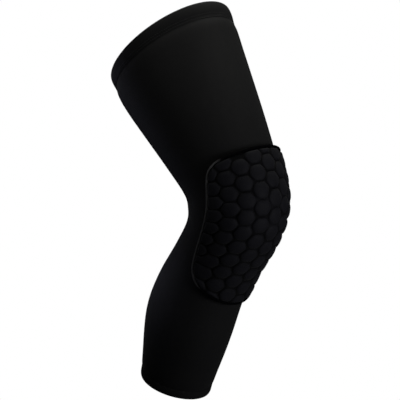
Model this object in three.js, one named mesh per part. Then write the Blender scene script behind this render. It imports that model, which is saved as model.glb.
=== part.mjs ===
// Knee sleeve with a honeycomb pad, in the bent form that it takes on a leg.
// Millimetres, +Z up, the kneecap faces -Y, and the origin is the middle of the knee.
import * as THREE from "three";
import { ParametricGeometry } from "three/addons/geometries/ParametricGeometry.js";
import { mergeVertices } from "three/addons/utils/BufferGeometryUtils.js";

// Cloth and hems
const CLOTH = 1.2; // thickness of the stretch cloth
const GAP = 0.3; // clearance between neighbouring pieces
const HEM_LEAF = 1; // one layer of the folded hem tape
const THIGH_HEM = 17; // height of the wide band round the thigh
const CALF_HEM = 11; // height of the narrow band round the calf
const FOLD_STEPS = 4; // facets round the fold of a hem

// Pad over the kneecap, measured on the pad laid flat
const SKIN_ANGLE = THREE.MathUtils.degToRad(25); // heights are measured at this angle from the front
const PAD_MIDDLE = 247; // distance of its middle from the calf rim, along that skin line
const PAD_CORNERS = { topHalf: 73, top: 95.5, bottomHalf: 63, bottom: -91.5 }; // before they are rounded
const PAD_CORNER = 20; // length of each rounded corner along the edges
const PAD_PULLS = { top: 105, side: 94, sideAt: 10, bottom: -115 }; // the edges bow towards these
const PAD_CLEAR = 1; // space between the pad and the cloth
const PAD_FLOOR = 5.3; // height of the groove floors over the cloth
const PAD_TOP = 7.5; // height of the cells over the cloth
const OUTLINE_POINTS = 78;

// Honeycomb cells, in columns that run along the leg
const COLUMN_PITCH = 18.2;
const ROW_PITCH = 20.3;
const COLUMNS_EACH_SIDE = 4;
const ROWS_EACH_SIDE = 6;
const GROOVE_HALF = 0.8; // half the width of the groove between two cells
const CELL_EDGE = 0.9; // width of the sloped edge of a cell
const CELL_DOME = 0.3; // rise of the cell's middle over its edge
const SMALLEST_CELL = 4; // a side cell with less room from middle to side joins the cells beside it
const SMALLEST_RAISED = 2.8; // scraps with less room than this stay low

// Raised rim that binds the pad to the cloth
const RIM_WIDTH = 3.2;
const RIM_TOP = 5.4;
const RIM_EDGE = 1; // width of its rounded edges

// Finishes: everything is black and matt, and the pad's cover is the smoothest
const STRETCH_CLOTH = { color: 0x0d0d0f, roughness: 0.72, metalness: 0 };
const HEM_TAPE = { color: 0x0b0b0c, roughness: 0.8, metalness: 0 };
const PAD_COVER = { color: 0x0a0a0b, roughness: 0.65, metalness: 0 };
const RIM_TAPE = { color: 0x101012, roughness: 0.7, metalness: 0 };

// The sleeve is a loft through these sections of the leg, from the calf up to the thigh.
// forward and up place the section's middle, lean tips its front edge up, in degrees.
const LEG_SECTIONS = [
  { place: "calf rim", forward: -100.5, up: -227, lean: -20, halfWidth: 42.5, halfDepth: 43 },
  { place: "low calf", forward: -86.5, up: -178, lean: -21, halfWidth: 49, halfDepth: 53 },
  { place: "calf", forward: -75, up: -142, lean: -24, halfWidth: 53, halfDepth: 57 },
  { place: "high calf", forward: -57.5, up: -105, lean: -28, halfWidth: 52.5, halfDepth: 55 },
  { place: "shin head", forward: -34.5, up: -67, lean: -27, halfWidth: 50.5, halfDepth: 50.8 },
  { place: "below kneecap", forward: -7.5, up: -28, lean: -17, halfWidth: 53, halfDepth: 53.5 },
  { place: "kneecap", forward: 1, up: 0, lean: -1, halfWidth: 56, halfDepth: 59 },
  { place: "above kneecap", forward: -3, up: 26, lean: 14, halfWidth: 58, halfDepth: 60.2 },
  { place: "knee top", forward: -31, up: 73, lean: 29, halfWidth: 66, halfDepth: 67 },
  { place: "low thigh", forward: -55.5, up: 108, lean: 33, halfWidth: 72.5, halfDepth: 73.5 },
  { place: "thigh", forward: -85.5, up: 151, lean: 37, halfWidth: 79.5, halfDepth: 81 },
  { place: "thigh rim", forward: -108, up: 189.5, lean: 41, halfWidth: 78.5, halfDepth: 85 },
];
const FACETS_ROUND = 40; // facets round the leg
const RINGS = 30; // rings along the sleeve

const legAxis = new THREE.CatmullRomCurve3(
  LEG_SECTIONS.map((row) => new THREE.Vector3(0, -row.forward, row.up)),
  false,
  "catmullrom",
);
const legGirth = new THREE.CatmullRomCurve3(
  LEG_SECTIONS.map((row) => new THREE.Vector3(row.lean, row.halfWidth, row.halfDepth)),
  false,
  "catmullrom",
);
const SLEEVE_LENGTH = legAxis.getLength();

// The point at a distance along the leg from the calf rim and an angle round it from the front,
// lifted by proud from the outside of the cloth.
function onLeg(along, angle, proud, target = new THREE.Vector3()) {
  const inside = THREE.MathUtils.clamp(along, 0, SLEEVE_LENGTH);
  const t = legAxis.getUtoTmapping(inside / SLEEVE_LENGTH);
  const [lean, halfWidth, halfDepth] = legGirth.getPoint(t).toArray();
  const tilt = THREE.MathUtils.degToRad(lean);
  const forward = new THREE.Vector3(0, -Math.cos(tilt), Math.sin(tilt));
  const upward = new THREE.Vector3(0, Math.sin(tilt), Math.cos(tilt));
  const outward = new THREE.Vector3(Math.sin(angle) / halfWidth, 0, 0)
    .addScaledVector(forward, Math.cos(angle) / halfDepth)
    .normalize();
  legAxis.getPoint(t, target);
  target.x += halfWidth * Math.sin(angle);
  return target
    .addScaledVector(forward, halfDepth * Math.cos(angle))
    .addScaledVector(outward, proud)
    .addScaledVector(upward, along - inside);
}

// One closed body: vertices that meet are joined, and the normals follow the joined surface.
function welded(geometry) {
  geometry.deleteAttribute("normal");
  geometry.deleteAttribute("uv");
  const joined = mergeVertices(geometry, 1e-3);
  joined.computeVertexNormals();
  return joined;
}

// Carries a closed profile of { along, proud } points once round the leg.
function carriedRound(profile) {
  const surface = (u, v, target) => {
    const { along, proud } = profile[Math.round(v * profile.length) % profile.length];
    onLeg(along, u * 2 * Math.PI, proud, target);
  };
  return welded(new ParametricGeometry(surface, FACETS_ROUND, profile.length));
}

// The tube of stretch cloth, open at both ends.
function sleeveGeometry() {
  const rings = Array.from({ length: RINGS + 1 }, (_, i) => (i / RINGS) * SLEEVE_LENGTH);
  const outside = rings.map((along) => ({ along, proud: 0 }));
  const inside = rings.map((along) => ({ along, proud: -CLOTH })).reverse();
  return carriedRound([...outside, ...inside]);
}

// A tape folded over the edge of the sleeve. The edge is at rim, and side is 1 where the tape
// closes over the top of it or -1 where it closes under the bottom.
function hemGeometry(rim, side, height) {
  const outer = GAP + HEM_LEAF;
  const inner = -CLOTH - GAP - HEM_LEAF;
  const middle = (outer + inner) / 2;
  const radius = (outer - inner) / 2;
  const open = rim - side * height;
  const spring = rim - side * (radius - HEM_LEAF - GAP);
  const fold = Array.from({ length: FOLD_STEPS + 1 }, (_, i) => {
    const turn = (i / FOLD_STEPS) * Math.PI;
    return { along: spring + side * radius * Math.sin(turn), proud: middle + radius * Math.cos(turn) };
  });
  const profile = [
    { along: open, proud: GAP },
    { along: open, proud: outer },
    { along: (open + spring) / 2, proud: outer },
    ...fold,
    { along: (open + spring) / 2, proud: inner },
    { along: open, proud: inner },
    { along: open, proud: -CLOTH - GAP },
    { along: (open + spring) / 2, proud: -CLOTH - GAP },
    { along: rim + side * GAP, proud: -CLOTH - GAP },
    { along: rim + side * GAP, proud: GAP },
    { along: (open + spring) / 2, proud: GAP },
  ];
  return carriedRound(side > 0 ? profile : profile.reverse());
}

// Distance along the leg for a distance on the skin line. The pad's rows are evenly spaced on
// that line, so they spread over the bend of the knee.
const skinLine = new THREE.CatmullRomCurve3(
  Array.from({ length: RINGS + 1 }, (_, i) => onLeg((i / RINGS) * SLEEVE_LENGTH, SKIN_ANGLE, 0)),
);
function alongForSkin(distance) {
  return skinLine.getUtoTmapping(distance / skinLine.getLength()) * SLEEVE_LENGTH;
}

// Wraps a point of the flat pad on to the leg: across to the +X side, up along the leg.
function wrapped(across, up, proud, target = new THREE.Vector3()) {
  const along = alongForSkin(PAD_MIDDLE + up);
  const t = legAxis.getUtoTmapping(along / SLEEVE_LENGTH);
  const girth = legGirth.getPoint(t);
  return onLeg(along, (2 * across) / (girth.y + girth.z), proud, target);
}

// Outline of the flat pad. Each edge bows towards a point outside it, and each rounded corner
// runs on smoothly from one edge into the next.
function padOutline() {
  const { topHalf, top, bottomHalf, bottom } = PAD_CORNERS;
  const corners = [
    new THREE.Vector2(topHalf, top),
    new THREE.Vector2(-topHalf, top),
    new THREE.Vector2(-bottomHalf, bottom),
    new THREE.Vector2(bottomHalf, bottom),
  ];
  const pulls = [
    new THREE.Vector2(0, PAD_PULLS.top),
    new THREE.Vector2(-PAD_PULLS.side, PAD_PULLS.sideAt),
    new THREE.Vector2(0, PAD_PULLS.bottom),
    new THREE.Vector2(PAD_PULLS.side, PAD_PULLS.sideAt),
  ];
  const besideCorner = (corner, pull) => pull.clone().sub(corner).setLength(PAD_CORNER).add(corner);
  const shape = new THREE.Shape();
  const first = besideCorner(corners[0], pulls[0]);
  shape.moveTo(first.x, first.y);
  pulls.forEach((pull, i) => {
    const corner = corners[(i + 1) % corners.length];
    const edgeEnd = besideCorner(corner, pull);
    const nextEdge = besideCorner(corner, pulls[(i + 1) % pulls.length]);
    shape.quadraticCurveTo(pull.x, pull.y, edgeEnd.x, edgeEnd.y);
    shape.quadraticCurveTo(corner.x, corner.y, nextEdge.x, nextEdge.y);
  });
  return shape.getSpacedPoints(OUTLINE_POINTS).slice(0, -1);
}

// The same outline drawn in by a distance.
function drawnIn(outline, distance) {
  return outline.map((point, i) => {
    const before = outline.at(i - 1);
    const after = outline[(i + 1) % outline.length];
    const edge = after.clone().sub(before).normalize();
    return new THREE.Vector2(point.x - edge.y * distance, point.y + edge.x * distance);
  });
}

// The part of a convex polygon that lies inside a convex outline.
function clipped(polygon, outline) {
  let kept = polygon;
  outline.forEach((start, i) => {
    const edge = outline[(i + 1) % outline.length].clone().sub(start);
    const side = (point) => edge.cross(point.clone().sub(start));
    const next = [];
    kept.forEach((point, k) => {
      const other = kept[(k + 1) % kept.length];
      const here = side(point);
      const there = side(other);
      if (here >= 0) next.push(point);
      if (here * there < 0) next.push(point.clone().lerp(other, here / (here - there)));
    });
    kept = next;
  });
  return kept;
}

// Distance from a point to the nearest edge of a polygon.
function reach(point, polygon) {
  const distances = polygon.map((start, i) => {
    const edge = polygon[(i + 1) % polygon.length].clone().sub(start);
    const toPoint = point.clone().sub(start);
    const share = THREE.MathUtils.clamp(toPoint.dot(edge) / Math.max(edge.lengthSq(), 1e-12), 0, 1);
    return toPoint.addScaledVector(edge, -share).length();
  });
  return Math.min(...distances);
}

// How many thirds of a pitch the outer side of a hexagon is from its middle. In the outermost
// columns it runs on beyond the outline.
function outerSide(column) {
  return Math.abs(column) === COLUMNS_EACH_SIDE ? 3 : 1;
}

// One hexagon of the lattice, cut off at the outline. joined says which of its two outer
// neighbours, above and below, give it their nearer half.
function latticeCell(column, row, outline, joined = { above: false, below: false }) {
  const outer = outerSide(column);
  const beyond = 3 + outerSide(Math.abs(column) + 1);
  const corners = [
    [outer, 1],
    [-1, 1],
    [-2, 0],
    [-1, -1],
    [outer, -1],
  ];
  if (joined.below) corners.push([beyond + 1, -1]);
  corners.push([joined.below ? beyond : outer + 1, 0]);
  if (joined.below !== joined.above) corners.push([joined.below ? outer + 1 : beyond, 0]);
  if (joined.above) corners.push([beyond + 1, 1]);
  const side = column < 0 ? -1 : 1;
  const points = corners.map(([thirds, rise]) => {
    const x = (column + (side * thirds) / 3) * COLUMN_PITCH;
    return new THREE.Vector2(x, (row + Math.abs(column % 2) / 2 + rise / 2) * ROW_PITCH);
  });
  return clipped(side > 0 ? points : points.reverse(), outline);
}

// The cells of the pad: the hexagons of the lattice, except that narrow ones at the sides are
// halved and join the cells beside them, which so run on to the outline.
function honeycomb(outline) {
  const room = (column, row) => {
    const cell = latticeCell(column, row, outline);
    return cell.length > 2 ? reach(centreOf(cell), cell) : 0;
  };
  const outerNeighbours = (column, row) => {
    const side = column < 0 ? -1 : 1;
    const above = row + Math.abs(column % 2);
    return { column: column + side, above, below: above - 1 };
  };
  const givesWay = (column, row) => {
    if (Math.abs(column) > COLUMNS_EACH_SIDE || room(column, row) > SMALLEST_CELL) return false;
    const inner = column - Math.sign(column);
    const above = row + Math.abs(column % 2);
    return room(inner, above) > SMALLEST_CELL && room(inner, above - 1) > SMALLEST_CELL;
  };
  const cells = [];
  for (let column = -COLUMNS_EACH_SIDE; column <= COLUMNS_EACH_SIDE; column += 1) {
    for (let row = -ROWS_EACH_SIDE; row <= ROWS_EACH_SIDE; row += 1) {
      if (givesWay(column, row)) continue;
      const beside = outerNeighbours(column, row);
      const joined = {
        above: givesWay(beside.column, beside.above),
        below: givesWay(beside.column, beside.below),
      };
      const cell = latticeCell(column, row, outline, joined);
      if (cell.length > 2) cells.push(cell);
    }
  }
  return cells;
}

// Centre of area of a convex polygon.
function centreOf(polygon) {
  const centre = new THREE.Vector2();
  let area = 0;
  for (let i = 2; i < polygon.length; i += 1) {
    const [a, b, c] = [polygon[0], polygon[i - 1], polygon[i]];
    const weight = b.clone().sub(a).cross(c.clone().sub(a)) / 2;
    centre.addScaledVector(a, weight / 3).addScaledVector(b, weight / 3).addScaledVector(c, weight / 3);
    area += weight;
  }
  return centre.divideScalar(area);
}

// The moulded pad: a plain back, and on each hexagon a raised cell with a sloped edge.
// Scraps of hexagons at the outline stay at the height of the groove floors.
function padGeometry(outline) {
  const corners = [];
  const triangle = (...points) => {
    points.forEach(([flat, proud]) => corners.push(wrapped(flat.x, flat.y, proud)));
  };
  const quad = (a, b, c, d) => {
    triangle(a, b, c);
    triangle(a, c, d);
  };
  for (const cell of honeycomb(outline)) {
    const middle = centreOf(cell);
    const room = reach(middle, cell);
    const ring = (inset, proud) => cell.map((corner) => [corner.clone().lerp(middle, inset / room), proud]);
    const raised = room > SMALLEST_RAISED;
    const back = ring(0, PAD_CLEAR);
    const floor = ring(0, PAD_FLOOR);
    const shoulder = ring(GROOVE_HALF, PAD_TOP - CELL_EDGE);
    const crown = ring(GROOVE_HALF + CELL_EDGE, PAD_TOP);
    const levels = raised ? [floor, shoulder, crown] : [floor];
    const peak = raised ? PAD_TOP + CELL_DOME : PAD_FLOOR;
    cell.forEach((corner, i) => {
      const j = (i + 1) % cell.length;
      triangle([middle, PAD_CLEAR], back[j], back[i]);
      for (let k = 1; k < levels.length; k += 1) {
        quad(levels[k - 1][i], levels[k - 1][j], levels[k][j], levels[k][i]);
      }
      triangle([middle, peak], levels.at(-1)[i], levels.at(-1)[j]);
      const halfway = corner.clone().lerp(cell[j], 0.5);
      if (reach(halfway, outline) < 1e-6) quad(back[i], back[j], floor[j], floor[i]);
    });
  }
  return welded(new THREE.BufferGeometry().setFromPoints(corners));
}

// The rim carries a rounded profile of { inset, proud } points along the outline of the pad.
function rimGeometry(outline) {
  const profile = [
    { inset: 0, proud: PAD_CLEAR },
    { inset: 0, proud: RIM_TOP - RIM_EDGE },
    { inset: RIM_EDGE, proud: RIM_TOP },
    { inset: RIM_WIDTH - RIM_EDGE, proud: RIM_TOP },
    { inset: RIM_WIDTH, proud: RIM_TOP - RIM_EDGE },
    { inset: RIM_WIDTH, proud: PAD_CLEAR },
  ];
  const lines = profile.map(({ inset, proud }) => ({ points: drawnIn(outline, inset), proud }));
  const surface = (u, v, target) => {
    const { points, proud } = lines[Math.round(v * lines.length) % lines.length];
    const { x, y } = points[Math.round(u * points.length) % points.length];
    wrapped(x, y, proud, target);
  };
  return welded(new ParametricGeometry(surface, outline.length, lines.length));
}

const kneeSleeve = new THREE.Group();

// Adds a piece with a material of its own.
function add(name, geometry, finish) {
  const mesh = new THREE.Mesh(geometry, new THREE.MeshStandardMaterial(finish));
  mesh.name = name;
  kneeSleeve.add(mesh);
}

add("sleeve", sleeveGeometry(), STRETCH_CLOTH);
add("thigh_hem", hemGeometry(SLEEVE_LENGTH, 1, THIGH_HEM), HEM_TAPE);
add("calf_hem", hemGeometry(0, -1, CALF_HEM), HEM_TAPE);

const padEdge = padOutline();
add("hex_pad", padGeometry(drawnIn(padEdge, RIM_WIDTH + GAP)), PAD_COVER);
add("pad_rim", rimGeometry(padEdge), RIM_TAPE);

export default kneeSleeve;
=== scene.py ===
# %% [markdown]
# # A knee sleeve with a honeycomb pad
#
# The real object is a long black sleeve of stretch knit that reaches from the thigh to the calf, bent
# as it is when worn. A wide hem closes it above and a narrow one below, and a foam pad with raised
# hexagons sits over the kneecap inside a sewn tape. The solids of all five pieces are made already.
# Here they are loaded as a frame that stays where it is, and each one is dressed with a finer mesh of
# cloth or foam in the same place.

# %% Load the solids
import math

import bpy
import numpy as np
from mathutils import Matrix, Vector
from mathutils.bvhtree import BVHTree


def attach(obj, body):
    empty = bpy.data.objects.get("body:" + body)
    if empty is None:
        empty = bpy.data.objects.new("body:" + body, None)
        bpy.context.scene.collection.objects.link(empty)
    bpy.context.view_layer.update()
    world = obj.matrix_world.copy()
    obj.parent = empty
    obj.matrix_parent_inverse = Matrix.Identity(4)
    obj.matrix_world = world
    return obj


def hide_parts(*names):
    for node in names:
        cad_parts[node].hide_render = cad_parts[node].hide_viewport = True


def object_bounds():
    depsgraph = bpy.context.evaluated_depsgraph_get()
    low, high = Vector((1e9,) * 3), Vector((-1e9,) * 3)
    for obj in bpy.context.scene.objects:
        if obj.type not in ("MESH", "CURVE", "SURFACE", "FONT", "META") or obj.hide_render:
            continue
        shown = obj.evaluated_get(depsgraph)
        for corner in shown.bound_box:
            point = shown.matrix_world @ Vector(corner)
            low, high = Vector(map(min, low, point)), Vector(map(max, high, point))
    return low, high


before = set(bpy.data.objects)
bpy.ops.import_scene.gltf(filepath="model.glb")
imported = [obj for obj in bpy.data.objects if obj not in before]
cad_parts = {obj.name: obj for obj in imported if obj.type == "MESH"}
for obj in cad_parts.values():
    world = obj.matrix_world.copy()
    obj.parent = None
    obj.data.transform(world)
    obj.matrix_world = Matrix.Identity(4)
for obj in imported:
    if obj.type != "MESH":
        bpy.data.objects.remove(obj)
cad_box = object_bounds()
MM = 0.001


def short(values, digits=4):
    """Numbers rounded for printing."""
    return [round(value, digits) for value in values]


def in_mm(length):
    """A length in millimetres, rounded for printing."""
    return round(float(length) / MM, 2)


print("solids", sorted(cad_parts), "from", short(cad_box[0]), "to", short(cad_box[1]))

# %% [markdown]
# ## The camera
#
# A camera could be placed by hand in the viewport. Here it is worked out from the way the sleeve is
# seen: from its front left and a little above the knee, and from far enough away that it hardly narrows
# with distance.

# %% Place the camera
AZIMUTH = math.radians(-46)
ELEVATION = math.radians(8)
DISTANCE = 3.2
FIELD_WIDTH = 0.48  # width of the picture at the knee
KNEE_RIGHT_OF_MIDDLE = 0.042
KNEE_BELOW_MIDDLE = 0.0096

screen_right = Vector((math.cos(AZIMUTH), math.sin(AZIMUTH), 0))
to_camera = Vector(
    (
        math.sin(AZIMUTH) * math.cos(ELEVATION),
        -math.cos(AZIMUTH) * math.cos(ELEVATION),
        math.sin(ELEVATION),
    )
)
screen_up = to_camera.cross(screen_right)
picture_middle = screen_up * KNEE_BELOW_MIDDLE - screen_right * KNEE_RIGHT_OF_MIDDLE

bpy.ops.object.select_all(action="DESELECT")
bpy.ops.object.camera_add(location=picture_middle + to_camera * DISTANCE)
camera = bpy.context.object
camera.rotation_euler = to_camera.to_track_quat("Z", "Y").to_euler()
camera.data.lens = camera.data.sensor_width * DISTANCE / FIELD_WIDTH
bpy.context.scene.camera = camera
print("camera at", short(camera.location, 3), "with a lens of", round(camera.data.lens), "mm")

# %% [markdown]
# ## From a solid to a skin of quads
#
# A loaded solid is a cloud of loose triangles. Cloth wants rows of four-sided faces, because they
# subdivide evenly and a knit can run along them. So each solid's mesh is copied into a new object, its
# doubles are merged and its triangles joined in pairs. The solid itself isn't touched.

# %% Helpers for a cloth copy
MERGED = 0.01 * MM  # points closer than this become one
PAIR_BEND = math.radians(15)  # two triangles are joined if they bend less than this
PAIR_SKEW = math.radians(75)  # and if their corners differ less than this from square ones


def enter(piece):
    """Makes the piece the only selected and the active object."""
    bpy.ops.object.select_all(action="DESELECT")
    piece.select_set(True)
    bpy.context.view_layer.objects.active = piece


def pick_faces(piece, wanted):
    """Opens edit mode with the faces selected that pass the test."""
    bpy.ops.object.mode_set(mode="EDIT")
    bpy.ops.mesh.select_mode(type="FACE")
    bpy.ops.mesh.select_all(action="DESELECT")
    bpy.ops.object.mode_set(mode="OBJECT")
    for face in piece.data.polygons:
        face.select = wanted(face)
    bpy.ops.object.mode_set(mode="EDIT")


def cloth_copy(node, name, paired=lambda face: True):
    """A new object with the merged mesh of a solid, its wanted triangles joined in pairs."""
    piece = bpy.data.objects.new(name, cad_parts[node].data.copy())
    bpy.context.scene.collection.objects.link(piece)
    piece.data.name = name
    piece.data.materials.clear()
    enter(piece)
    bpy.ops.mesh.customdata_custom_splitnormals_clear()
    bpy.ops.object.mode_set(mode="EDIT")
    bpy.ops.mesh.select_all(action="SELECT")
    bpy.ops.mesh.remove_doubles(threshold=MERGED)
    bpy.ops.object.mode_set(mode="OBJECT")
    pick_faces(piece, paired)
    bpy.ops.mesh.tris_convert_to_quads(face_threshold=PAIR_BEND, shape_threshold=PAIR_SKEW)
    bpy.ops.object.mode_set(mode="OBJECT")
    bpy.ops.object.shade_smooth()
    return piece


# %% [markdown]
# A few more helpers serve every piece: one adds a modifier and applies it, one subdivides, one tells
# what a piece is made of, and three read and move its vertices. Vertices could be dragged with a
# sculpting brush, but a formula on their places gives the same result each time.

# %% Helpers for shaping
def finished(piece, kind, **settings):
    """Adds a modifier with these settings and applies it."""
    enter(piece)
    modifier = piece.modifiers.new(kind.title(), kind)
    for setting, value in settings.items():
        setattr(modifier, setting, value)
    bpy.ops.object.modifier_apply(modifier=modifier.name)


def subdivided(piece, levels, **settings):
    """Cuts every face into smaller ones, this many times."""
    finished(piece, "SUBSURF", levels=levels, render_levels=levels, **settings)


def told(piece):
    """Prints what a piece is made of."""
    sides = [len(face.vertices) for face in piece.data.polygons]
    quads = sides.count(4)
    print(piece.name, len(sides), "faces,", quads, "of them quads, size", short(piece.dimensions))


def places(piece):
    """The places of a piece's vertices, one to a row."""
    return np.array([vertex.co for vertex in piece.data.vertices])


def facings(piece):
    """The directions in which a piece's vertices face, one to a row."""
    return np.array([vertex.normal for vertex in piece.data.vertices])


def moved_to(piece, points):
    """Puts the vertices of a piece at these places."""
    piece.data.vertices.foreach_set("co", points.ravel())
    piece.data.update()


# %% [markdown]
# ## The sleeve
#
# On the real object this is one seamless tube, knitted to shape, so its rows of loops run round it and
# their columns run along it. It could be a cylinder that is pulled and bent until it fits. The solid
# already has the bent form, so its outer wall is kept as the cloth and the inner wall is thrown away:
# the narrow faces at the two ends are deleted, the two walls fall apart, and the wider one stays.

# %% Keep the outer wall of the tube
CUT_EDGE_FACE = 40 * MM**2  # a face at a cut edge is smaller than this

sleeve = cloth_copy("sleeve", "sleeve_cloth")
pick_faces(sleeve, lambda face: face.area < CUT_EDGE_FACE)
bpy.ops.mesh.delete(type="FACE")
bpy.ops.mesh.separate(type="LOOSE")
bpy.ops.object.mode_set(mode="OBJECT")
inner_wall, sleeve = sorted(bpy.context.selected_objects, key=lambda wall: wall.dimensions.x)
bpy.data.objects.remove(inner_wall)
sleeve.name = "sleeve_cloth"
told(sleeve)

# %% [markdown]
# The knit is drawn later by a material, which has to know where a loop is on the tube. A UV map tells
# it. Follow Active Quads lays the faces out one after the other from a first one, so a column of faces
# becomes a straight column on the map, as it is in the knitting.

# %% Lay the knit along the tube
def lay_knit(piece):
    """A UV map in which each face is one step along the knit and one step across it."""
    enter(piece)
    while piece.data.uv_layers:
        piece.data.uv_layers.remove(piece.data.uv_layers[0])
    knit = piece.data.uv_layers.new(name="knit")
    for picked in (knit.vertex_selection, knit.edge_selection):
        picked.foreach_set("value", [True] * len(piece.data.loops))
    piece.data.polygons.active = 0
    bpy.ops.object.mode_set(mode="EDIT")
    bpy.ops.mesh.select_all(action="SELECT")
    bpy.ops.uv.reset()
    bpy.ops.uv.follow_active_quads(mode="EVEN")
    bpy.ops.object.mode_set(mode="OBJECT")
    steps = np.array([loop.uv for loop in piece.data.uv_layers["knit"].data])
    if np.ptp(steps[:, 0]) < np.ptp(steps[:, 1]):
        steps = steps[:, ::-1].copy()
    piece.data.uv_layers["knit"].data.foreach_set("uv", steps.ravel())
    print(piece.name, "knit map spans", np.ptp(steps, axis=0).round(2), "faces, the longer way round it")


lay_knit(sleeve)

# %% [markdown]
# A hem is tight, and the cloth beside it bulges a little, which leaves a soft valley along the hem. So
# the tube has to know where the hems end. The open edge of a hem is found on its solid: the lowest
# point in each sector round it, and the plane that fits those points best.

# %% Find the open edge of a hem
SECTORS = 40


def flattest(points):
    """The middle of a ring of points and the direction that it is thinnest in."""
    middle = points.mean(axis=0)
    return middle, np.linalg.svd(points - middle, full_matrices=False)[2][2]


def open_edge(node):
    """The middle of a hem's sewn edge, and the direction from there out of the sleeve."""
    points = places(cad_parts[node])
    middle, out = flattest(points)
    out *= np.sign(out[2] * middle[2])
    side = np.cross(out, (1, 0, 0))
    turn = np.arctan2((points - middle) @ side, (points - middle)[:, 0])
    sector = np.round(turn / (2 * math.pi) * SECTORS) % SECTORS
    height = (points - middle) @ out
    edge = np.array([points[sector == s][height[sector == s].argmin()] for s in range(SECTORS)])
    middle, normal = flattest(edge)
    return middle, normal * np.sign(normal @ out)


def bulged(piece, node, height, reach):
    """Pushes cloth out beside a hem, furthest at this distance from its open edge."""
    middle, out = open_edge(node)
    points = places(piece)
    share = np.clip((middle - points) @ out / reach, 0, None)
    push = height * share * np.exp(1 - share)
    moved_to(piece, points + facings(piece) * push[:, None])
    print(piece.name, "bulges up to", in_mm(push.max()), "mm beside", node)


# %% [markdown]
# The wall is still faceted, and it is a surface without thickness. Two subdivisions round it, the
# bulges are pushed out, and Solidify makes a cloth with two faces and cut edges, because both mouths
# can be looked into. It grows inwards, so the outside stays where it is. Before all that the wall is
# kept as a surface to measure from, because the solid of the pad was made over this wall and not over a
# rounded one.

# %% Smooth the tube and give it its thickness
CLOTH_THICKNESS = 1.2 * MM
THIGH_BULGE = (1.3 * MM, 9 * MM)  # height of the bulge, and its distance from the open edge of the hem
CALF_BULGE = (0.6 * MM, 6 * MM)


def surface_of(piece):
    """The faces of a piece as a tree that finds the nearest point on them."""
    corners = [face.vertices for face in piece.data.polygons]
    return BVHTree.FromPolygons([vertex.co for vertex in piece.data.vertices], corners)


outer_wall = surface_of(sleeve)
subdivided(sleeve, 2)
bulged(sleeve, "thigh_hem", *THIGH_BULGE)
bulged(sleeve, "calf_hem", *CALF_BULGE)
finished(sleeve, "SOLIDIFY", thickness=CLOTH_THICKNESS, offset=-1, use_even_offset=True)
told(sleeve)

# %% [markdown]
# ## The hems
#
# Each hem is a tape folded over the cut edge and sewn down. It swells a little between the fold and the
# seam, because four layers lie there, the seam pinches it, and its open edge thins out on the cloth.
# The folded solid is subdivided, and then its outer leaf is pushed out and in by its height over the
# open edge, as a sculpting brush would do it.

# %% Make both hems
TAPERED = 0.9 * MM  # the tape thins out by this much at its open edge
PINCH_WIDTH = 1.1 * MM  # reach of the dent to both sides of a seam line


def hem_band(node, name, seams, swell, pinch):
    """A folded band that swells over its seams and is pinched along them."""
    band = cloth_copy(node, name)
    lay_knit(band)
    subdivided(band, 2)
    middle, out = open_edge(node)
    points = places(band)
    height = (points - middle) @ out
    spokes = points - middle - np.outer(height, out)
    spokes /= np.linalg.norm(spokes, axis=1)[:, None]
    outer_leaf = np.clip((facings(band) * spokes).sum(axis=1), 0, 1)
    last_seam = max(seams)
    over_seam = np.clip((height - last_seam) / (height.max() - last_seam), 0, 1)
    push = swell * np.sin(math.pi * over_seam)
    push -= TAPERED * np.clip(1 - height / last_seam, 0, 1) ** 2
    for seam in seams:
        push -= pinch * np.exp(-(((height - seam) / PINCH_WIDTH) ** 2))
    moved_to(band, points + spokes * (push * outer_leaf)[:, None])
    told(band)
    return band


THIGH_SEAMS = (2.2 * MM, 5.2 * MM)  # heights of the seam lines over the open edge
CALF_SEAMS = (2.0 * MM, 4.6 * MM)

thigh_band = hem_band("thigh_hem", "thigh_band", THIGH_SEAMS, swell=0.7 * MM, pinch=0.35 * MM)
calf_band = hem_band("calf_hem", "calf_band", CALF_SEAMS, swell=0.4 * MM, pinch=0.25 * MM)

# %% [markdown]
# ## The stitches
#
# Two rows of thread hold each hem down. A stitch is a short bridge of thread whose ends go into the
# cloth. It could be a bent curve with a bevel, but hundreds of them have to stay light. So one is
# modelled from a small sphere: stretched along the seam, flattened, and with its ends pushed down.

# %% Model one stitch
STITCH_LENGTH = 2.5 * MM
STITCH_WIDTH = 0.7 * MM
STITCH_HEIGHT = 0.55 * MM
STITCH_DIP = 0.22 * MM
STITCH_ENDS = 0.35  # the ends begin at this share of the length from the middle

bpy.ops.object.select_all(action="DESELECT")
bpy.ops.mesh.primitive_uv_sphere_add(segments=8, ring_count=6, radius=0.5, rotation=(0, math.pi / 2, 0))
stitch = bpy.context.object
bpy.ops.object.transform_apply(rotation=True)
bpy.ops.object.mode_set(mode="EDIT")
bpy.ops.transform.resize(value=(STITCH_LENGTH, STITCH_WIDTH, STITCH_HEIGHT))
bpy.ops.mesh.select_mode(type="VERT")
bpy.ops.mesh.select_all(action="DESELECT")
bpy.ops.object.mode_set(mode="OBJECT")
for vertex in stitch.data.vertices:
    vertex.select = abs(vertex.co.x) > STITCH_ENDS * STITCH_LENGTH
bpy.ops.object.mode_set(mode="EDIT")
bpy.ops.transform.translate(value=(0, 0, -STITCH_DIP))
bpy.ops.object.mode_set(mode="OBJECT")
told(stitch)

# %% [markdown]
# A sewing machine goes round the hem with an even step. Here rays are sent to the hem from all round at
# the height of a seam. Where they meet it is the line of the seam, and that line is cut into equal
# steps, as many as fit.

# %% Find the places of the stitches
STITCH_PITCH = 3.1 * MM
RAYS_ROUND = 720


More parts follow.
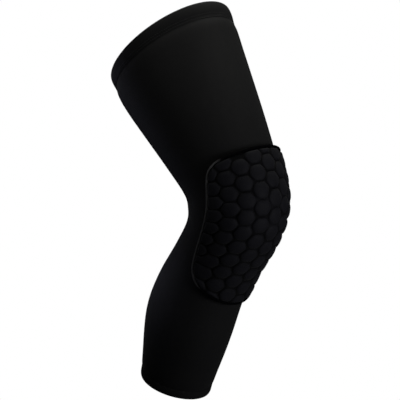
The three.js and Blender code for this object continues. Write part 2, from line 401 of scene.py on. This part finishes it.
def seam_line(band, node, seam):
    """Points and outward normals evenly spaced along a seam at this height over the open edge."""
    middle, out = open_edge(node)
    start = middle + out * seam
    across = np.array((1.0, 0.0, 0.0))
    along = np.cross(out, across)
    hits = []
    for turn in np.linspace(0, 2 * math.pi, RAYS_ROUND, endpoint=False):
        spoke = across * math.cos(turn) + along * math.sin(turn)
        hits.append(band.ray_cast(Vector(start + spoke), Vector(-spoke))[1:3])
    line = np.array([hit[0] for hit in hits])
    normals = np.array([hit[1] for hit in hits])
    steps = np.linalg.norm(np.roll(line, -1, axis=0) - line, axis=1)
    length = steps.sum()
    count = round(length / STITCH_PITCH)
    reached = np.concatenate([[0], np.cumsum(steps)])
    wanted = np.arange(count) * length / count
    spaced = [np.interp(wanted, reached, np.append(column, column[0])) for column in line.T]
    facing = [np.interp(wanted, reached, np.append(column, column[0])) for column in normals.T]
    print(node, "seam of", in_mm(length), "mm,", count, "stitches")
    return np.array(spaced).T, np.array(facing).T


# %% [markdown]
# The copies of the stitch are laid one behind the other, each turned with the seam and with the face of
# the hem. An array along a curve could place them too, but it bends them. All stitches of a hem become
# one mesh, because none of them moves on its own.

# %% Sew the hems down
def sewn(name, band, node, seams):
    """One mesh with a copy of the stitch at every place along the seams of a hem."""
    shape = places(stitch)
    faces = [tuple(face.vertices) for face in stitch.data.polygons]
    points, copies = [], []
    for seam in seams:
        line, facing = seam_line(band, node, seam)
        forward = np.roll(line, -1, axis=0) - np.roll(line, 1, axis=0)
        forward /= np.linalg.norm(forward, axis=1)[:, None]
        side = np.cross(facing, forward)
        side /= np.linalg.norm(side, axis=1)[:, None]
        lift = np.cross(forward, side)
        for place, x, y, z in zip(line, forward, side, lift):
            copies += [tuple(i + len(points) * len(shape) for i in face) for face in faces]
            points.append(place + shape @ np.array((x, y, z)))
    mesh = bpy.data.meshes.new(name)
    mesh.from_pydata(np.concatenate(points).tolist(), [], copies)
    piece = bpy.data.objects.new(name, mesh)
    bpy.context.scene.collection.objects.link(piece)
    enter(piece)
    bpy.ops.object.shade_smooth()
    told(piece)
    return piece


thigh_stitches = sewn("thigh_stitches", thigh_band, "thigh_hem", THIGH_SEAMS)
calf_stitches = sewn("calf_stitches", calf_band, "calf_hem", CALF_SEAMS)
bpy.data.objects.remove(stitch)

# %% [markdown]
# ## The pad
#
# The real pad is a sheet of foam under a thin cloth, pressed hot in a mould, so that hexagons stand up
# between grooves. It could be drawn as bump in a material, but the cells show in the outline of the
# knee, so they are geometry. The solid has the cells with sharp edges. A first subdivision only cuts
# its faces and rounds nothing, so that the grooves stay narrow. Only the sloped sides of the cells are
# joined to quads before it: their tops are fans of triangles, which subdivide evenly as they are.

# %% Subdivide the cells
CELL_WALL_FACE = 25 * MM**2  # the triangles of a cell's sloped sides are smaller than this

pad = cloth_copy("hex_pad", "pad_cover", paired=lambda face: face.area < CELL_WALL_FACE)
subdivided(pad, 1, subdivision_type="SIMPLE")


def heights_over_wall(piece):
    """How far each vertex stands from the outer wall of the sleeve's solid."""
    return np.array([outer_wall.find_nearest(vertex.co)[3] for vertex in piece.data.vertices])


height = heights_over_wall(pad)
told(pad)
print("pad from", in_mm(height.min()), "to", in_mm(height.max()), "mm over the wall")

# %% [markdown]
# Foam swells against the cloth over it, and the grooves, where both are welded together, hold it down.
# Round crowns could be sculpted cell by cell. A cloth simulation does all of them at once: pressure
# from inside blows up the skin while the groove floors and the back are held. No vertex may go far from
# its start.

# %% Blow up the cells
HELD_BELOW = 5.5 * MM  # groove floors and the back are held
FREE_ABOVE = 6.4 * MM
PRESSURE = 250.0
COVER_MASS = 0.15
STEPS_PER_FRAME = 6
FRAMES = 20
LARGEST_MOVE = 0.9 * MM
NO_MOVE = 1e-9  # keeps a vertex that didn't move out of a division by zero


def blown_up(piece, free):
    """Runs the cloth simulation on a piece and keeps each vertex near where it started."""
    enter(piece)
    before = places(piece)
    held = piece.vertex_groups.new(name="held")
    for index, share in enumerate(free):
        held.add([index], float(1 - share), "REPLACE")
    cloth = piece.modifiers.new("Cloth", "CLOTH")
    cloth.settings.quality = STEPS_PER_FRAME
    cloth.settings.mass = COVER_MASS
    cloth.settings.use_pressure = True
    cloth.settings.uniform_pressure_force = PRESSURE
    cloth.settings.vertex_group_mass = held.name
    cloth.settings.effector_weights.gravity = 0
    cloth.collision_settings.use_collision = False
    cloth.point_cache.frame_start = 1
    cloth.point_cache.frame_end = FRAMES
    for step in range(1, FRAMES + 1):
        bpy.context.scene.frame_set(step)
    bpy.ops.object.modifier_apply(modifier=cloth.name)
    bpy.context.scene.frame_set(1)
    piece.vertex_groups.clear()
    move = places(piece) - before
    length = np.linalg.norm(move, axis=1)
    move *= np.minimum(1, LARGEST_MOVE / np.maximum(length, NO_MOVE))[:, None]
    moved_to(piece, before + move)
    print(piece.name, "moved up to", in_mm(length.max()), "mm before the limit")


blown_up(pad, np.clip((height - HELD_BELOW) / (FREE_ABOVE - HELD_BELOW), 0, 1))

# %% [markdown]
# The cover is taut, so it has no sharp folds between a crown and its groove. A Smooth modifier evens
# them out, and a second subdivision, this time a rounding one, gives the cells their soft edges. A
# bevel would leave flat strips that catch the light.

# %% Soften the cells
SOFTENING = 0.45  # how far each vertex goes towards the middle of its neighbours
SOFTENED_TIMES = 2

finished(pad, "SMOOTH", factor=SOFTENING, iterations=SOFTENED_TIMES)
subdivided(pad, 1)
told(pad)

# %% [markdown]
# ## The tape round the pad
#
# A narrow tape is rolled round the pad and sewn to the sleeve. Its solid is a ring with flat sides. It
# could be a curve with a round bevel, but the solid already follows the bent cloth. Two subdivisions
# make it round, and because they also make it thinner, it is fattened first.

# %% Round the tape
FATTENED = 0.35 * MM

binding = cloth_copy("pad_rim", "pad_binding")
lay_knit(binding)
bpy.ops.object.mode_set(mode="EDIT")
bpy.ops.mesh.select_all(action="SELECT")
bpy.ops.transform.shrink_fatten(value=FATTENED)
bpy.ops.object.mode_set(mode="OBJECT")
subdivided(binding, 2)
told(binding)

# %% [markdown]
# Along the top and the bottom of the pad the tape climbs the cut edge of the foam, so it stands higher
# there than at the sides, and the pad ends in a clear step. A lattice could lift it. Here each point is
# moved further from the cloth by a share of its own height, so that the foot of the tape stays almost
# where it is.

# %% Let the tape climb the cut edge
SIDE_HEIGHTS = (-95 * MM, 75 * MM)  # a low and a high place on the pad
SIDE_REACH = (46 * MM, 51 * MM)  # its sides begin this far from its middle there
SIDE_FADE = 6 * MM  # and over this distance the tape comes down
CLIMB = 0.2  # share of its height that the tape gains

points = places(binding)
side_begins = np.interp(points[:, 2], SIDE_HEIGHTS, SIDE_REACH)
at_side = np.clip((np.abs(points[:, 0]) - side_begins) / SIDE_FADE, 0, 1)
feet = np.array([outer_wall.find_nearest(vertex.co)[0] for vertex in binding.data.vertices])
moved_to(binding, points + (points - feet) * (CLIMB * (1 - at_side))[:, None])
print("tape stands up to", in_mm(heights_over_wall(binding).max()), "mm over the wall")

# %% [markdown]
# ## What the finishes have to know
#
# Three things that the materials need can't be read from a place in space: how high a point of the pad
# stands over its grooves, whether a point of the tape is at a side of the pad, and how near a point of
# the sleeve is to the tape, where the cloth gets a painted shade. They could be painted on by hand as
# weights.
# Here they are measured on the meshes and kept on their vertices as attributes.

# %% Measure them
GROOVE_FLOOR = 4.9 * MM
CELL_TOP = 7.4 * MM
PAD_SHADE_REACH = 6.0 * MM  # painted shade on the cloth reaches this far from the tape


def keep_on_vertices(piece, name, values):
    """Keeps one number for each vertex of a piece under this name."""
    attribute = piece.data.attributes.new(name, "FLOAT", "POINT")
    attribute.data.foreach_set("value", np.asarray(values, dtype=np.float32))
    print(piece.name, name, "from", round(float(min(values)), 2), "to", round(float(max(values)), 2))


rise = (heights_over_wall(pad) - GROOVE_FLOOR) / (CELL_TOP - GROOVE_FLOOR)
keep_on_vertices(pad, "rise", np.clip(rise, 0, 1))
keep_on_vertices(binding, "at_side", at_side)
# near_pad steers the painted shade on the sleeve beside the tape
tape = surface_of(binding)
away = np.array([tape.find_nearest(vertex.co)[3] for vertex in sleeve.data.vertices])
keep_on_vertices(sleeve, "near_pad", np.clip(1 - away / PAD_SHADE_REACH, 0, 1))

# %% [markdown]
# ## Materials
#
# All the cloth is black, so the finishes differ in how they take the light. The nodes could be wired by
# hand in the shader editor. A small kit of helpers does the same in code: each material is a Principled
# shader whose colour, roughness and bump come from the knit map, from an attribute or from noise.

# %% Helpers for node trees
MIX_FACTOR, MIX_FIRST, MIX_SECOND, MIX_RESULT = 0, 6, 7, 2  # the colour sockets of a Mix node


def new_material(name, **constants):
    """A material, its node tree and its shader, with the constant values set on the shader's sockets."""
    material = bpy.data.materials.new(name)
    material.use_nodes = True
    tree = material.node_tree
    shader = tree.nodes["Principled BSDF"]
    for socket, value in constants.items():
        shader.inputs[socket.replace("_", " ")].default_value = value
    return material, tree, shader


def made(tree, kind, *inputs, output=0, **settings):
    """Adds a node, sets it, fills its inputs in order with numbers or sockets, and returns an output."""
    node = tree.nodes.new("ShaderNode" + kind)
    for setting, value in settings.items():
        setattr(node, setting, value)
    for socket, value in zip(node.inputs, inputs):
        if isinstance(value, bpy.types.NodeSocket):
            tree.links.new(value, socket)
        elif value is not None:
            socket.default_value = value
    return node.outputs[output]


def maths(tree, operation, *values):
    """The result of one Math node."""
    return made(tree, "Math", *values, operation=operation)


def noise(tree, scale, detail=2.0):
    """Soft noise in space, with this many blotches to the metre."""
    place = made(tree, "TexCoord", output="Object")
    return made(tree, "TexNoise", place, None, scale, detail)


def ranged(tree, value, low, high):
    """A value from 0 to 1 carried over to another range."""
    return made(tree, "MapRange", value, 0.0, 1.0, low, high)


def tones(tree, value, dark, light):
    """Mixes two greys, given as linear red, green and blue, by a value from 0 to 1."""
    node = tree.nodes.new("ShaderNodeMix")
    node.data_type = "RGBA"
    tree.links.new(value, node.inputs[MIX_FACTOR])
    node.inputs[MIX_FIRST].default_value = (*dark, 1)
    node.inputs[MIX_SECOND].default_value = (*light, 1)
    return node.outputs[MIX_RESULT]


def surfaced(tree, shader, colour, roughness):
    """Links the shader's colour and roughness."""
    tree.links.new(colour, shader.inputs["Base Color"])
    tree.links.new(roughness, shader.inputs["Roughness"])


def bumped(tree, shader, height, strength, distance):
    """Gives the shader a relief from a height between 0 and 1."""
    bump = tree.nodes.new("ShaderNodeBump")
    bump.inputs["Strength"].default_value = strength
    bump.inputs["Distance"].default_value = distance
    tree.links.new(height, bump.inputs["Height"])
    tree.links.new(bump.outputs["Normal"], shader.inputs["Normal"])


# %% [markdown]
# Two of the textures follow the knit map: a plain knit, whose loops stand in columns of small V's, and
# a rib, whose ridges run across a band. A picture of a knit could be wrapped on instead, but it would
# blur up close and show where it repeats.

# %% Knit and rib
def knit_loops(tree, wales, courses):
    """Height of a plain knit, its wales and courses counted to a step of the knit map."""
    place = made(tree, "UVMap", uv_map="knit")
    across = made(tree, "SeparateXYZ", place, output=0)
    along = made(tree, "SeparateXYZ", place, output=1)
    in_wale = maths(tree, "FRACT", maths(tree, "MULTIPLY", across, wales))
    from_spine = maths(tree, "ABSOLUTE", maths(tree, "MULTIPLY_ADD", in_wale, 2.0, -1.0))
    slanted = maths(tree, "MULTIPLY_ADD", from_spine, 0.5, maths(tree, "MULTIPLY", along, courses))
    wave = maths(tree, "SINE", maths(tree, "MULTIPLY", slanted, 2 * math.pi))
    yarn = maths(tree, "MULTIPLY_ADD", wave, 0.5, 0.5)
    side = maths(tree, "SINE", maths(tree, "MULTIPLY", from_spine, math.pi))
    return maths(tree, "MULTIPLY", yarn, maths(tree, "MULTIPLY_ADD", side, 0.7, 0.3))


def rib_ridges(tree, count):
    """Height of a rib with this many ridges to a step of the knit map."""
    place = made(tree, "UVMap", uv_map="knit")
    across = made(tree, "SeparateXYZ", place, output=0)
    wave = maths(tree, "SINE", maths(tree, "MULTIPLY", across, count * 2 * math.pi))
    return maths(tree, "MULTIPLY_ADD", wave, 0.5, 0.5)


# %% [markdown]
# The sleeve's cloth is a fine plain knit. From further off its loops blur to a soft sheen with a
# slightly uneven tone. One grey would look like rubber, so the loops, broad blotches and fine heather
# all vary it. Along the edge of the pad the cloth is painted darker, a painted shade where the tape
# stands over it.

# %% Stretch cloth
KNIT_DARK, KNIT_LIGHT = (0.0045, 0.0045, 0.005), (0.014, 0.014, 0.0145)
KNIT_MIDDLE = 0.4  # lightness between those two tones, before anything varies it
LOOPS_LIGHTEN = 0.35
# painted shade: how much darker the cloth beside the tape is painted
PAD_SHADE_DARKENS = 0.6


def stretch_cloth():
    """The finish of the sleeve."""
    material, tree, shader = new_material(
        "black_stretch_knit", Specular_IOR_Level=0.15, Sheen_Weight=0.06, Sheen_Roughness=0.35
    )
    loops = knit_loops(tree, wales=10, courses=17)
    blotches = ranged(tree, noise(tree, scale=14.0), low=-0.15, high=0.15)
    heather = ranged(tree, noise(tree, scale=420.0, detail=1.0), low=-0.12, high=0.12)
    mottle = maths(tree, "ADD", blotches, heather)
    uneven = maths(tree, "ADD", mottle, KNIT_MIDDLE)
    lightness = maths(tree, "MULTIPLY_ADD", loops, LOOPS_LIGHTEN, uneven)
    # Painted shade along the tape round the pad: the cloth is darkened near it.
    near = made(tree, "Attribute", output="Fac", attribute_name="near_pad")
    pad_shaded = maths(tree, "SUBTRACT", lightness, maths(tree, "MULTIPLY", near, PAD_SHADE_DARKENS))
    colour = tones(tree, pad_shaded, KNIT_DARK, KNIT_LIGHT)
    surfaced(tree, shader, colour, roughness=ranged(tree, loops, low=0.72, high=0.58))
    bumped(tree, shader, loops, strength=0.35, distance=0.25 * MM)
    return material


# %% [markdown]
# The hems are the same yarn knitted as a close rib, so fine ridges run across them. The thread is spun
# and has a twist, which a slanted wave in space shows well enough on stitches as short as these.

# %% Hem rib and thread
RIB_DARK, RIB_LIGHT = (0.004, 0.004, 0.0045), (0.0115, 0.0115, 0.012)
RIB_MIDDLE = 0.3
RIDGES_LIGHTEN = 0.4
THREAD_DARK, THREAD_LIGHT = (0.004, 0.004, 0.0045), (0.012, 0.012, 0.0125)
TWIST_SCALE = 900.0


def hem_rib():
    """The finish of both hems."""
    material, tree, shader = new_material(
        "black_hem_rib", Specular_IOR_Level=0.15, Sheen_Weight=0.06, Sheen_Roughness=0.35
    )
    rib = rib_ridges(tree, count=8)
    mottle = ranged(tree, noise(tree, scale=380.0, detail=1.0), low=-0.15, high=0.15)
    uneven = maths(tree, "ADD", mottle, RIB_MIDDLE)
    lightness = maths(tree, "MULTIPLY_ADD", rib, RIDGES_LIGHTEN, uneven)
    colour = tones(tree, lightness, RIB_DARK, RIB_LIGHT)
    surfaced(tree, shader, colour, roughness=ranged(tree, rib, low=0.75, high=0.62))
    bumped(tree, shader, rib, strength=0.4, distance=0.3 * MM)
    return material


def sewing_thread():
    """The finish of the stitches."""
    material, tree, shader = new_material("black_thread", Specular_IOR_Level=0.3)
    place = made(tree, "TexCoord", output="Object")
    twist = made(tree, "TexWave", place, TWIST_SCALE, bands_direction="DIAGONAL")
    colour = tones(tree, twist, THREAD_DARK, THREAD_LIGHT)
    surfaced(tree, shader, colour, roughness=ranged(tree, twist, low=0.6, high=0.45))
    bumped(tree, shader, twist, strength=0.4, distance=0.1 * MM)
    return material


# %% [markdown]
# The tape is painted pale at the sides of the pad, as a thin painted highlight line, and dark along the
# top and bottom, as a painted shade. It is also glossier at the sides. Two materials could do that, with
# a hard border between them. Here the attribute that tells the sides fades one look into the other.

# %% Edge tape
# painted shade for the top and bottom of the tape, painted highlight for its sides
TAPE_PAINTED_SHADE, TAPE_PAINTED_HIGHLIGHT = (0.0014, 0.0014, 0.002), (0.11, 0.11, 0.113)
TAPE_MIDDLE = 0.7
TAPE_RIDGES_LIGHTEN = 0.3


def edge_tape():
    """The finish of the tape round the pad."""
    material, tree, shader = new_material("black_edge_tape", Specular_IOR_Level=0.03)
    rib = rib_ridges(tree, count=5)
    mottle = ranged(tree, noise(tree, scale=260.0, detail=1.0), low=-0.2, high=0.2)
    side = made(tree, "Attribute", output="Fac", attribute_name="at_side")
    uneven = maths(tree, "ADD", mottle, TAPE_MIDDLE)
    face = maths(tree, "MULTIPLY_ADD", rib, TAPE_RIDGES_LIGHTEN, uneven)
    # Painted highlight at the sides of the pad and painted shade along its top and bottom, by at_side.
    colour = tones(tree, maths(tree, "MULTIPLY", side, face), TAPE_PAINTED_SHADE, TAPE_PAINTED_HIGHLIGHT)
    surfaced(tree, shader, colour, roughness=ranged(tree, side, low=0.95, high=0.4))
    bumped(tree, shader, rib, strength=0.3, distance=0.2 * MM)
    return material


# %% [markdown]
# The pad's cover is a thin tricot over foam. It is tighter than the sleeve and a little smoother, and
# the crowns of the cells, which are rubbed most, are slightly polished, that is less rough. Light alone
# hardly shows grooves in black cloth, so the height over the grooves also sets the tone: a painted shade
# makes the grooves darkest and a painted highlight makes the crowns lightest.

# %% Pad cover
TRICOT_DARK, TRICOT_LIGHT = (0.0012, 0.0012, 0.0018), (0.0137, 0.0137, 0.0185)
WEAVE_SCALE = 1300.0
WEAVE_DARKENS = -0.2
# painted highlight: how much lighter the crowns of the cells are painted
CROWN_PAINTED_HIGHLIGHT = 0.7
CROWN_POWER = 1.6  # over 1, so that the tone drops faster near the top than in the groove


def pad_tricot():
    """The finish of the pad."""
    material, tree, shader = new_material("black_pad_tricot", Specular_IOR_Level=0.12, Sheen_Weight=0.04)
    place = made(tree, "TexCoord", output="Object")
    weave = made(tree, "TexVoronoi", place, None, WEAVE_SCALE)
    up = made(tree, "Attribute", output="Fac", attribute_name="rise")
    mottle = ranged(tree, noise(tree, scale=120.0), low=-0.2, high=0.2)
    # Painted shade down in the grooves and painted highlight on the crowns, set by the height over them.
    crown = maths(tree, "POWER", up, CROWN_POWER)
    uneven = maths(tree, "MULTIPLY_ADD", weave, WEAVE_DARKENS, mottle)
    lightness = maths(tree, "MULTIPLY_ADD", crown, CROWN_PAINTED_HIGHLIGHT, uneven)
    colour = tones(tree, lightness, TRICOT_DARK, TRICOT_LIGHT)
    surfaced(tree, shader, colour, roughness=ranged(tree, up, low=0.85, high=0.68))
    bumped(tree, shader, weave, strength=0.25, distance=0.15 * MM)
    return material


# %% [markdown]
# Now every piece gets its one finish. The two hems share a rib and a thread, as they would come from
# the same roll and the same spool.

# %% Dress the pieces
def dressed(piece, material):
    """Gives a piece this material and no other."""
    piece.data.materials.clear()
    piece.data.materials.append(material)


rib, thread = hem_rib(), sewing_thread()
for piece, material in [
    (sleeve, stretch_cloth()),
    (thigh_band, rib),
    (calf_band, rib),
    (thigh_stitches, thread),
    (calf_stitches, thread),
    (pad, pad_tricot()),
    (binding, edge_tape()),
]:
    dressed(piece, material)
    print(piece.name, "wears", material.name)

# %% [markdown]
# ## Floor and light
#
# Plain studio paper lies under the sleeve. A white floor would throw light up on to the black cloth. So
# the paper glows white for the camera alone, and to the lamps it is a dull grey.

# %% Studio paper
FLOOR_DROP = 0.1  # clear space under the lower hem
FLOOR_REACH = 20.0
PAPER_GREY = (0.2, 0.2, 0.2, 1)
WHITE = (1, 1, 1, 1)

bpy.ops.object.select_all(action="DESELECT")
bpy.ops.mesh.primitive_circle_add(
    vertices=96, radius=FLOOR_REACH, fill_type="NGON", location=(0, 0, cad_box[0].z - FLOOR_DROP)
)
floor = bpy.context.object
floor.name = "studio_floor"
bpy.ops.object.transform_apply(location=True)
paper, tree, shader = new_material("studio_paper", Base_Color=PAPER_GREY, Roughness=0.9)
glow = made(tree, "Emission", WHITE, 1.0)
seen = made(tree, "LightPath", output="Is Camera Ray")
shown = made(tree, "MixShader", seen, shader.outputs["BSDF"], glow)
tree.links.new(shown, tree.nodes["Material Output"].inputs["Surface"])
dressed(floor, paper)
print("floor", round(cad_box[0].z - FLOOR_DROP, 4), "m high")

# %% [markdown]
# The paper fades into a white room. The room is white for the camera in the same way, and gives the
# cloth only a trace of light from all round, so that the side between the lamps stays nearly black.

# %% White room
ROOM_LIGHT = 0.005  # strength of the room as a lamp
ROOM_SEEN = 1.0  # strength of the room in the picture

world = bpy.data.worlds.new("white_room")
world.use_nodes = True
bpy.context.scene.world = world
room = world.node_tree.nodes["Background"]
room.inputs["Color"].default_value = WHITE
seen = made(world.node_tree, "LightPath", output="Is Camera Ray")
strength = ranged(world.node_tree, seen, ROOM_LIGHT, ROOM_SEEN)
world.node_tree.links.new(strength, room.inputs["Strength"])
bpy.context.scene.view_settings.view_transform = "Standard"
print("room lights with", ROOM_LIGHT, "and shows with", ROOM_SEEN)

# %% [markdown]
# The lamps are soft boxes near the sleeve. One stands over the thigh on the right and a low one at the
# right front: these two shape the thigh and the pad. A weak one comes from the left front. Two very
# weak cool ones, at the left and the back, draw the rear edge out of the dark. The last stands behind
# for the views from there. Sun lamps would be simpler, but their shadows are hard and they light
# everything alike.

# %% Soft lights
KNEE = Vector((0, 0, 0))
CALF = Vector((0, 0.1, -0.1))
THIGH = Vector((0, 0.1, 0.15))
THIGH_BACK = Vector((0, 0.13, 0.15))
THIGH_TOP = Vector((0, 0.1, 0.2))


def soft_light(name, aim, turn, rise, distance, size, power, colour=(1, 1, 1), spread=180):
    """A square light aimed at a place. It is turned to the right of the camera and raised, in degrees."""
    turn, rise = math.radians(turn), math.radians(rise)
    level = screen_right * math.sin(turn) + to_camera * math.cos(turn)
    way = level * math.cos(rise) + screen_up * math.sin(rise)
    bpy.ops.object.light_add(type="AREA", location=aim + way * distance)
    light = bpy.context.object
    light.name = name
    light.data.size = size
    light.data.energy = power
    light.data.color = colour
    light.data.spread = math.radians(spread)
    light.rotation_euler = way.to_track_quat("Z", "Y").to_euler()
    light.visible_camera = False
    print(name, "of", power, "W at", short(light.location, 2))


soft_light(
    "over_right", THIGH_TOP, turn=90, rise=60, distance=0.5, size=0.2, power=1.1, colour=(1, 1, 0.94)
)
soft_light(
    "low_right", KNEE, turn=50, rise=-10, distance=0.8, size=0.35, power=2.0, colour=(0.97, 0.97, 1)
)
soft_light(
    "left_front", THIGH, turn=330, rise=50, distance=0.6, size=0.25, power=0.26,
    colour=(1, 1, 0.96), spread=90,
)
soft_light(
    "cool_back", THIGH_BACK, turn=245, rise=-15, distance=0.5, size=0.2, power=0.026,
    colour=(0.75, 0.76, 1), spread=60,
)
soft_light(
    "cool_left", CALF, turn=285, rise=25, distance=0.4, size=0.1, power=0.022,
    colour=(0.77, 0.78, 1), spread=25,
)
soft_light("behind", KNEE, turn=180, rise=0, distance=0.9, size=0.3, power=1.2)

# %% [markdown]
# ## Tie the pieces to the frame
#
# Each piece rides on the one body of the part and stands for its solid, which is hidden. Each row also
# names a slot of the record, which is only printed. The stitches have no solid of their own.

# %% Ride and replace
for piece, slot, nodes in [
    (sleeve, "stretch_cloth", ["sleeve"]),
    (thigh_band, "hem_tape", ["thigh_hem"]),
    (calf_band, "hem_tape", ["calf_hem"]),
    (thigh_stitches, "hem_tape", []),
    (calf_stitches, "hem_tape", []),
    (pad, "pad_foam", ["hex_pad"]),
    (binding, "rim_tape", ["pad_rim"]),
]:
    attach(piece, "root")
    if nodes:
        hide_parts(*nodes)
    print(piece.name, "in slot", slot, "stands for", nodes or "no solid")
